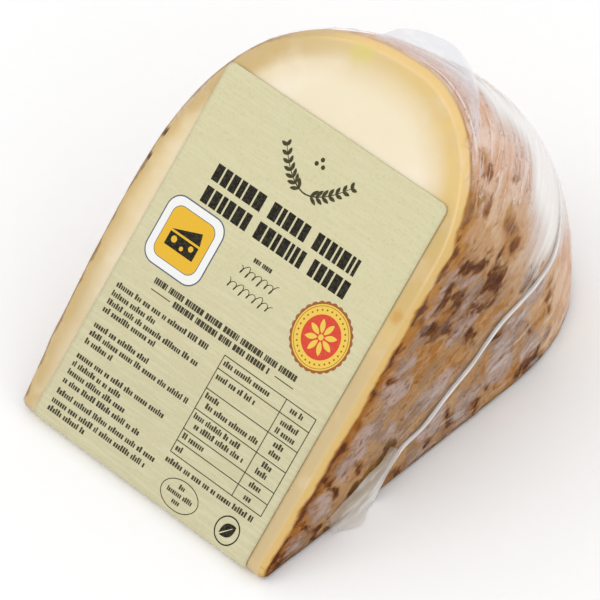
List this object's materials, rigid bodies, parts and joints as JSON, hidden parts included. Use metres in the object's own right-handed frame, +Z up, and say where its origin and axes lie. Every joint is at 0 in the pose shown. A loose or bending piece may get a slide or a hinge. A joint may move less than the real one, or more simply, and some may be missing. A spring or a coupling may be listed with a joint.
{
  "type": "film-wrapped cheese wedge",
  "caption": "Wedge cut from a pressed cheese wheel with rounded rind shoulders, sealed tight in clear film with a paper label on the upper cut face.",
  "frame": {"origin": "centre of the bounding box in plan, at the level of the resting cut face", "axes": "+Z up; +Y from the wedge's tip edge out to the rim; +X along the wheel's axis"},
  "size_m": [0.0776, 0.115, 0.0801],
  "materials": {
    "film_over_cheese": "clear glossy film drawn tight over pale yellow cheese and orange-brown rind",
    "label_paper": null
  },
  "bodies": {
    "root": {"film_wrapped_wedge": "film_over_cheese", "paper_label": "label_paper"}
  },
  "joints": []
}
